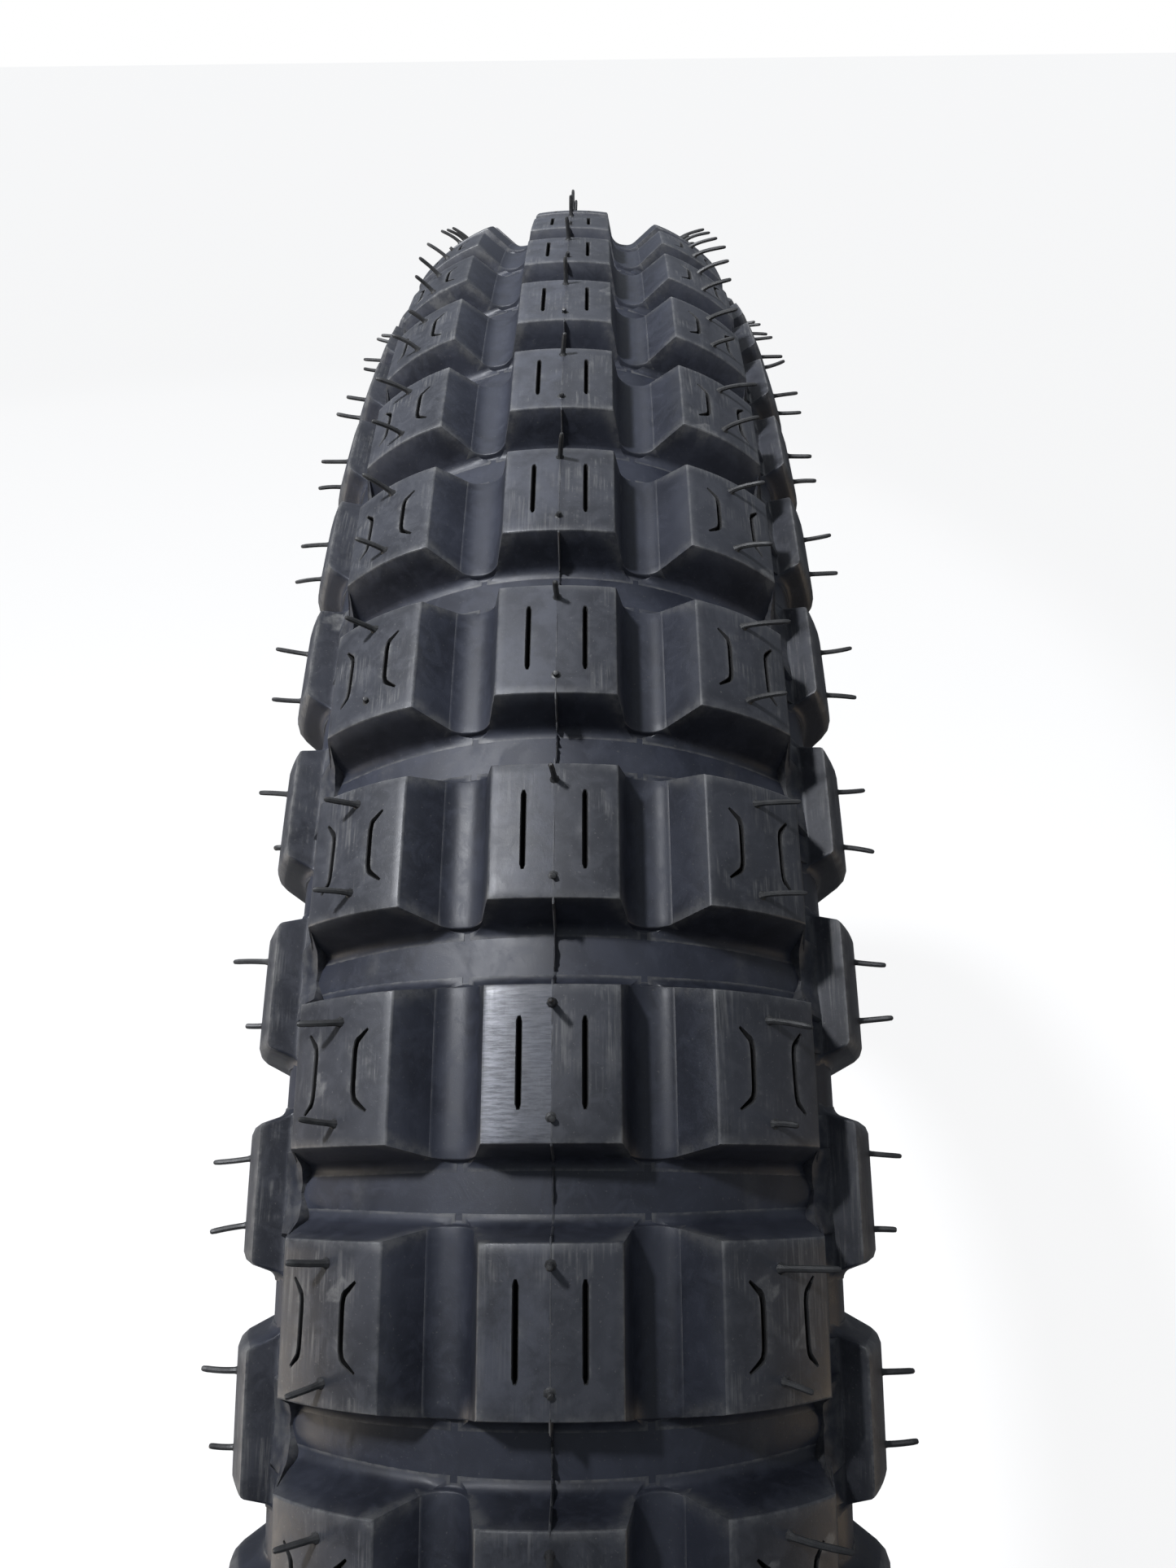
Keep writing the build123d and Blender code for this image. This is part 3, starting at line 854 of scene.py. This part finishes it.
def painted_sheen_group():
    """Block tops: a painted highlight that makes the left half of each top paler, and on one block a rubbed
    patch with a painted bright sheen.
    """
    sheet, _, out = new_group("block_painted_sheen", {}, ("Painted Left Highlight", "Rub And Painted Sheen"))
    spot = sheet.add("ShaderNodeGroup", node_tree=PLACE).outputs
    across, turn = spot["Across"], spot["Turn"]
    ragged = sheet.math("ADD", across, sheet.math("MULTIPLY", sheet.noise(sheet.place(), 900.0), 0.9))
    # Painted highlight: the left half of each top, beside the mould's joint, is made paler in ragged patches.
    left = sheet.span(ragged, 0.3, 0.6, 1.0, 0.0)
    half = sheet.math("MULTIPLY", left, sheet.span(across, -9.3, -9.0))
    highlight_breakup = sheet.span(sheet.noise(sheet.place(), 160.0, 5.0, 0.7), 0.35, 0.7)
    sheet.feed(out["Painted Left Highlight"], sheet.math("MULTIPLY", half, sheet.math("MULTIPLY", highlight_breakup, 0.75)))
    # Painted sheen: one block's rubbed patch, streaked along the turn, is made much paler; its roughness is
    # also lowered where it is used.
    start = sheet.span(turn, RUB_SHEEN_TURN - 0.034, RUB_SHEEN_TURN - 0.030)
    end = sheet.span(turn, RUB_SHEEN_TURN + 0.028, RUB_SHEEN_TURN + 0.034, 1.0, 0.0)
    brushed = sheet.add("ShaderNodeCombineXYZ", {
        0: sheet.math("MULTIPLY", across, 0.35), 1: sheet.math("MULTIPLY", turn, 900.0), 2: 0.0})
    bristle = sheet.span(sheet.noise(brushed, 1.0, 5.0, 0.7), 0.36, 0.62, 0.25, 1.0)
    fade = sheet.span(across, -8.8, -2.2, 1.0, 0.25)
    mark = sheet.math("MULTIPLY", sheet.math("MULTIPLY", start, end), sheet.math("MULTIPLY", bristle, fade))
    sheet.feed(out["Rub And Painted Sheen"], sheet.math("MULTIPLY", mark, half, clamp=True))
    return sheet.tree


PLACE = tyre_place_group()
MOTTLE = mottle_group()
EDGE = edge_group()
STREAKS = streak_group()
WEAVE = weave_group()
CORDS = cord_group()
PAINTED_SHEEN = painted_sheen_group()


def surface(name):
    """New material with its node sheet and its shader."""
    material = bpy.data.materials.new(name)
    material.use_nodes = True
    return material, Sheet(material.node_tree), material.node_tree.nodes["Principled BSDF"]


def rubber(name, dark, pale, bloom, rough=(0.36, 0.6), rub_and_highlight=0.5, scuff=0.0, grain=0.03, cloud=18.0, blue=1.05,
           shine=0.0, painted_sheen_tops=False):
    """Black rubber with cloudy bloom, specks, edges made paler partly by rubbing and partly as a painted
    highlight, streaks and moulded grain; on block tops also a painted highlight on each top's left half and a
    painted sheen on one rubbed patch.
    """
    material, sheet, shader = surface(name)
    mottle = sheet.add("ShaderNodeGroup", {"Cloud Size": cloud}, node_tree=MOTTLE).outputs
    edge = sheet.add("ShaderNodeGroup", {"Reach": rub_and_highlight}, node_tree=EDGE)
    streaks = sheet.add("ShaderNodeGroup", node_tree=STREAKS).outputs
    body = sheet.mix(mottle["Cloud"], grey(dark, blue), grey(pale, blue))
    dusted = sheet.mix(sheet.math("MULTIPLY", mottle["Blotch"], 0.45), body, grey(bloom, blue * 0.95))
    scuffed = sheet.math("MULTIPLY", sheet.math("MULTIPLY", streaks["Streak"], streaks["Patch"]), scuff)
    brushed = sheet.mix(scuffed, dusted, grey(bloom * 2.6, 0.97))
    specked = sheet.mix(sheet.math("MULTIPLY", mottle["Speck"], 0.5), brushed, grey(bloom * 2.2, 0.96))
    if painted_sheen_tops:
        sheen_masks = sheet.add("ShaderNodeGroup", node_tree=PAINTED_SHEEN).outputs
        # Painted highlight: the left half of each block top is mixed paler.
        specked = sheet.mix(sheen_masks["Painted Left Highlight"], specked, grey(bloom * 1.15, blue))
        # Painted sheen: the rubbed patch on one block top is mixed much paler.
        specked = sheet.mix(sheen_masks["Rub And Painted Sheen"], specked, grey(bloom * 5.0, 1.12))
    # Convex edges mixed paler: partly rub wear, partly a painted highlight along the edges.
    sheet.feed(shader.inputs["Base Color"], sheet.mix(edge, specked, grey(bloom * 3.0, 0.97)))
    clouded = sheet.math("MULTIPLY", mottle["Cloud"], 0.55)
    blotched = sheet.math("MULTIPLY", mottle["Blotch"], 0.45)
    roughness = sheet.span(sheet.math("ADD", clouded, blotched), 0.0, 1.0, *rough, smooth=False)
    if shine:
        wet = sheet.math("MULTIPLY", sheet.math("SUBTRACT", 1.0, streaks["Patch"]), shine)
        roughness = sheet.math("SUBTRACT", roughness, wet, clamp=True)
    if painted_sheen_tops:
        roughness = sheet.math("SUBTRACT", roughness, sheet.math("MULTIPLY", sheen_masks["Rub And Painted Sheen"], 0.12))
    sheet.feed(shader.inputs["Roughness"], roughness)
    grained = sheet.math("MULTIPLY", mottle["Grain"], 0.6)
    relief = sheet.math("ADD", grained, sheet.math("MULTIPLY", mottle["Blotch"], 0.5))
    relief = sheet.math("ADD", relief, sheet.math("MULTIPLY", scuffed, -0.7))
    bump = sheet.add("ShaderNodeBump", {"Height": relief, "Strength": 0.55, "Distance": grain * MM})
    sheet.feed(shader.inputs["Normal"], bump)
    shader.inputs["IOR"].default_value = 1.5
    return material


def cloth(name, thread, gap, weave, relief=0.25, rough=0.85, **values):
    """Rubbered fabric whose threads show as relief and a paler tone."""
    material, sheet, shader = surface(name)
    sockets = {label.replace("_", " "): value for label, value in values.items()}
    pattern = sheet.add("ShaderNodeGroup", sockets, node_tree=weave)
    mottle = sheet.add("ShaderNodeGroup", {"Cloud Size": 25.0}, node_tree=MOTTLE).outputs
    tone = sheet.mix(pattern, gap, thread)
    dull = sheet.mix(sheet.math("MULTIPLY", mottle["Blotch"], 0.4), tone, (0.09, 0.088, 0.084, 1))
    sheet.feed(shader.inputs["Base Color"], dull)
    patchy = sheet.span(mottle["Cloud"], 0, 1, rough - 0.1, min(1.0, rough + 0.1))
    sheet.feed(shader.inputs["Roughness"], patchy)
    bump = sheet.add("ShaderNodeBump", {"Height": pattern, "Strength": 0.6, "Distance": relief * MM})
    sheet.feed(shader.inputs["Normal"], bump)
    return material


def bronzed_wire(name):
    """Bead wire with its thin bronze coat, darker in blotches."""
    material, sheet, shader = surface(name)
    mottle = sheet.add("ShaderNodeGroup", {"Cloud Size": 6.0}, node_tree=MOTTLE).outputs
    coat = sheet.mix(mottle["Blotch"], (0.52, 0.30, 0.13, 1), (0.36, 0.19, 0.08, 1))
    sheet.feed(shader.inputs["Base Color"], coat)
    sheet.feed(shader.inputs["Roughness"], sheet.span(mottle["Cloud"], 0, 1, 0.25, 0.45))
    shader.inputs["Metallic"].default_value = 1.0
    return material


# Block walls, knob flanks, tie bars and seam fin: a darker, bluer copy of the top rubber, as painted shade
# with a painted bluish reflection of the cool light.
WALL_RUBBER_PAINTED_SHADE = rubber("tread_rubber_walls_painted_shade", 0.013, 0.022, 0.035, rough=(0.46, 0.62), rub_and_highlight=0.6, blue=1.65)
TOP_RUBBER = rubber("tread_rubber_tops", 0.022, 0.034, 0.056, rough=(0.42, 0.56), rub_and_highlight=0.7, scuff=0.6,
                    blue=1.3, painted_sheen_tops=True)
# Slot walls: a much darker copy of the rubber, as painted shade inside the narrow slots.
SLOT_RUBBER_PAINTED_SHADE = rubber("tread_rubber_slots_painted_shade", 0.006, 0.010, 0.014, rough=(0.6, 0.8), rub_and_highlight=0.0)
# Groove floor and shoulder skin: a darker, bluer copy of the top rubber, as painted shade with a painted
# bluish reflection of the cool light.
FLOOR_RUBBER_PAINTED_SHADE = rubber("groove_rubber_painted_shade", 0.013, 0.021, 0.034, rough=(0.52, 0.66), rub_and_highlight=0.2, cloud=24.0, blue=1.7,
                      shine=0.09)
SIDE_RUBBER = rubber("sidewall_rubber", 0.018, 0.028, 0.042, rough=(0.44, 0.6), rub_and_highlight=0.3, scuff=0.25,
                     cloud=32.0, blue=1.3)
WHISKER_RUBBER = rubber("whisker_rubber", 0.012, 0.020, 0.030, rough=(0.45, 0.6), rub_and_highlight=0.3, cloud=6.0)
LINER_RUBBER = cloth("liner_rubber", (0.034, 0.034, 0.036, 1), (0.024, 0.024, 0.026, 1), CORDS,
                     relief=0.06, rough=0.55)
CORE_RUBBER = rubber("bead_core_rubber", 0.016, 0.022, 0.03, rough=(0.5, 0.7), rub_and_highlight=0.0)
PLY_CLOTH = cloth("ply_cloth", (0.20, 0.15, 0.09, 1), (0.05, 0.045, 0.04, 1), CORDS, Slant=2.4)
BREAKER_CLOTH = cloth("breaker_cloth", (0.22, 0.17, 0.11, 1), (0.05, 0.045, 0.04, 1), CORDS, Slant=-2.8)
WRAP_CLOTH = cloth("bead_wrap_cloth", (0.16, 0.14, 0.11, 1), (0.04, 0.04, 0.04, 1), WEAVE)
CHAFER_CLOTH = cloth("chafer_cloth", (0.050, 0.049, 0.047, 1), (0.020, 0.020, 0.021, 1), WEAVE,
                     relief=0.12, rough=0.7)
BEAD_WIRE = bronzed_wire("bead_wire")
BLOCK_FINISH = [WALL_RUBBER_PAINTED_SHADE, TOP_RUBBER, SLOT_RUBBER_PAINTED_SHADE]

# ---------------------------------------------------------------- assembly

piece("tread_base", tread_base(), [FLOOR_RUBBER_PAINTED_SHADE], "tread_band")
piece("centre_block_row", copied(joined(centre_block()), ROW_TURNS), BLOCK_FINISH,
      "centre_blocks")
piece("seam_fin", seam_flash(), [WALL_RUBBER_PAINTED_SHADE], "seam_flash")
piece("centre_whiskers", centre_spews(), [WHISKER_RUBBER], "centre_spews")

for side in ("right", "left"):
    left = side == "left"
    hand = -1 if left else 1
    piece(f"shoulder_block_row_{side}", copied(joined(shoulder_block()), ROW_TURNS, left), BLOCK_FINISH,
          f"shoulder_blocks_{side}")
    piece(f"tie_bar_row_{side}", copied(joined(tie_bar()), ROW_TURNS, left), [WALL_RUBBER_PAINTED_SHADE, WALL_RUBBER_PAINTED_SHADE],
          f"tie_bars_{side}")
    piece(f"side_knob_row_{side}", copied(joined(side_knob(), knob_web()), GAP_TURNS, left),
          [WALL_RUBBER_PAINTED_SHADE, TOP_RUBBER], f"side_knobs_{side}")
    rings = {
        "shoulder_skin": (shoulder_strip(), FLOOR_RUBBER_PAINTED_SHADE, "shoulder_strip", "tread_rubber"),
        "sidewall_skin": (sidewall(), SIDE_RUBBER, "sidewall", "sidewall_rubber"),
        "chafer_wrap": (chafer(), CHAFER_CLOTH, "chafer", "chafer_fabric"),
    }
    for name, ((points, faces, marks), material, node, slot) in rings.items():
        if left:
            points = points * (1, -1, 1)
            faces = [face[::-1] for face in faces]
        piece(f"{name}_{side}", (points, faces, marks), [material], f"{node}_{side}")
    spot = (hand * SHOULDER_SPEW_ACROSS, tread_top(SHOULDER_SPEW_ACROSS))
    lean = hand * lean_at(SHOULDER_TREAD_CENTRE, SHOULDER_TREAD_BEND, SHOULDER_SPEW_ACROSS)
    whiskers = spews_in_pairs(spot, lean, ROW_TURNS, SHOULDER_SPEW_SPACING, 0.35 if left else 0.8)
    piece(f"shoulder_whiskers_{side}", whiskers, [WHISKER_RUBBER], f"shoulder_spews_{side}")
    spot = (hand * SIDE_SPEW_SPOT[0], SIDE_SPEW_SPOT[1])
    whiskers = spews_in_pairs(spot, hand * SIDE_SPEW_LEAN, GAP_TURNS, SIDE_SPEW_SPACING)
    piece(f"side_whiskers_{side}", whiskers, [WHISKER_RUBBER], f"side_spews_{side}")

CAD_FINISH = {
    "inner_liner": LINER_RUBBER, "casing_ply_1": PLY_CLOTH, "casing_ply_2": PLY_CLOTH,
    "breaker_1": BREAKER_CLOTH, "breaker_2": BREAKER_CLOTH, "bead_wires": BEAD_WIRE,
    "bead_filler": CORE_RUBBER, "bead_insulation": CORE_RUBBER, "bead_cushion": CORE_RUBBER,
    "bead_flipper": WRAP_CLOTH,
}
for name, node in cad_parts.items():
    if node.hide_render:
        continue
    finish = CAD_FINISH[name.removesuffix("_left").removesuffix("_right")]
    node.data.materials.clear()
    node.data.materials.append(finish)

# ---------------------------------------------------------------- studio


def studio_paper():
    """Matt pale paper that keeps its whiteness where the camera sees it directly."""
    material, sheet, shader = surface("studio_paper")
    seen = sheet.add("ShaderNodeLightPath").outputs["Is Camera Ray"]
    sheet.feed(shader.inputs["Base Color"], sheet.mix(seen, grey(0.32), grey(0.20)))
    sheet.feed(shader.inputs["Roughness"], 0.9)
    sheet.feed(shader.inputs["Emission Color"], (1.0, 1.0, 1.0, 1.0))
    sheet.feed(shader.inputs["Emission Strength"], sheet.math("MULTIPLY", seen, 0.86))
    return material


def studio_floor():
    """Wide pale floor that the tyre stands on."""
    floor, reach = CAD_BOX[0].z, 30.0
    corners = [(-reach, -reach, floor), (reach, -reach, floor), (reach, reach, floor), (-reach, reach, floor)]
    mesh = bpy.data.meshes.new("studio_floor")
    mesh.from_pydata(corners, [], [(0, 1, 2, 3)])
    mesh.materials.append(studio_paper())
    made = bpy.data.objects.new("studio_floor", mesh)
    bpy.context.collection.objects.link(made)


def soft_light(name, spot, aim, size, watts, colour):
    """Round soft lamp at a spot, facing what it lights."""
    data = bpy.data.lights.new(name, "AREA")
    data.shape, data.size, data.energy, data.color = "DISK", size, watts, colour
    made = bpy.data.objects.new(name, data)
    made.location = spot
    made.rotation_mode = "QUATERNION"
    made.rotation_quaternion = (Vector(aim) - Vector(spot)).to_track_quat("-Z", "Y")
    bpy.context.collection.objects.link(made)


def shaded_light(name, spot, edge_through, lit_towards, watts, colour):
    """Lamp whose beam ends along a line across the tyre, so that what lies past it is shaded."""
    spot, first, second = Vector(spot), Vector(edge_through[0]), Vector(edge_through[1])
    toward = (first - spot).normalized()
    side = (first - spot).cross(second - first).normalized()
    if side.dot(Vector(lit_towards) - spot) < 0:
        side.negate()
    half_beam, lamp_radius, edge_softness = radians(34.0), 0.07, 0.13
    heading = toward * cos(half_beam) + side * sin(half_beam)
    data = bpy.data.lights.new(name, "SPOT")
    data.energy, data.color, data.shadow_soft_size = watts, colour, lamp_radius
    data.spot_size, data.spot_blend = 2 * half_beam, edge_softness
    made = bpy.data.objects.new(name, data)
    made.location = spot
    made.rotation_mode = "QUATERNION"
    made.rotation_quaternion = heading.to_track_quat("-Z", "Y")
    bpy.context.collection.objects.link(made)


def world_light(strength):
    """Soft light from all round, which the camera sees as plain white."""
    world = bpy.data.worlds.new("studio")
    world.use_nodes = True
    sheet, background = Sheet(world.node_tree), world.node_tree.nodes["Background"]
    seen = sheet.add("ShaderNodeLightPath").outputs["Is Camera Ray"]
    sheet.feed(background.inputs["Color"], sheet.mix(seen, (0.82, 0.89, 1.0, 1.0), (1.0, 1.0, 1.0, 1.0)))
    sheet.feed(background.inputs["Strength"], sheet.span(seen, 0.0, 1.0, strength, 1.0, smooth=False))
    bpy.context.scene.world = world


def camera():
    """Camera close above the tread, looking down along it."""
    right = Vector((-0.00625, 0.99992, -0.01093)).normalized()
    back = Vector((0.86113, 0.01094, 0.50826)).normalized()
    up = back.cross(right).normalized()
    right = up.cross(back)
    data = bpy.data.cameras.new("camera")
    data.sensor_fit, data.sensor_height, data.lens = "VERTICAL", 36.0, 29.68
    data.clip_start, data.clip_end = 0.01, 50.0
    made = bpy.data.objects.new("camera", data)
    turned = Matrix((right, up, back)).transposed().to_4x4()
    made.matrix_world = Matrix.Translation((0.32493, 0.00654, 0.35973)) @ turned
    bpy.context.collection.objects.link(made)
    bpy.context.scene.camera = made


studio_floor()
world_light(0.30)
SHADE_FROM = tuple(around(np.array([4.0, TREAD_RADIUS]), radians(41.5)))
SHADE_TO = tuple(around(np.array([29.0, 308.5]), radians(48.0)))
TYRE_BACK, TYRE_TOP, TYRE_FRONT = (-0.3, 0.0, 0.1), (0.1, 0.0, 0.3), (0.1, 0.0, 0.05)
COOL, PALE_BLUE, WARM, AMBER = (0.93, 0.95, 1.0), (0.94, 0.97, 1.0), (1.0, 0.88, 0.74), (1.0, 0.78, 0.54)
shaded_light("key_light", (0.42, -0.50, 1.25), (SHADE_FROM, SHADE_TO), TYRE_BACK, 100.0, COOL)
soft_light("top_fill", (-0.9, -0.2, 1.5), TYRE_TOP, 1.0, 2.0, PALE_BLUE)
soft_light("left_glow", (0.30, -1.1, -0.22), TYRE_FRONT, 0.5, 4.5, WARM)
soft_light("right_glow", (0.30, 1.1, -0.22), TYRE_FRONT, 0.5, 1.4, AMBER)
camera()
bpy.context.scene.view_settings.view_transform = "Standard"
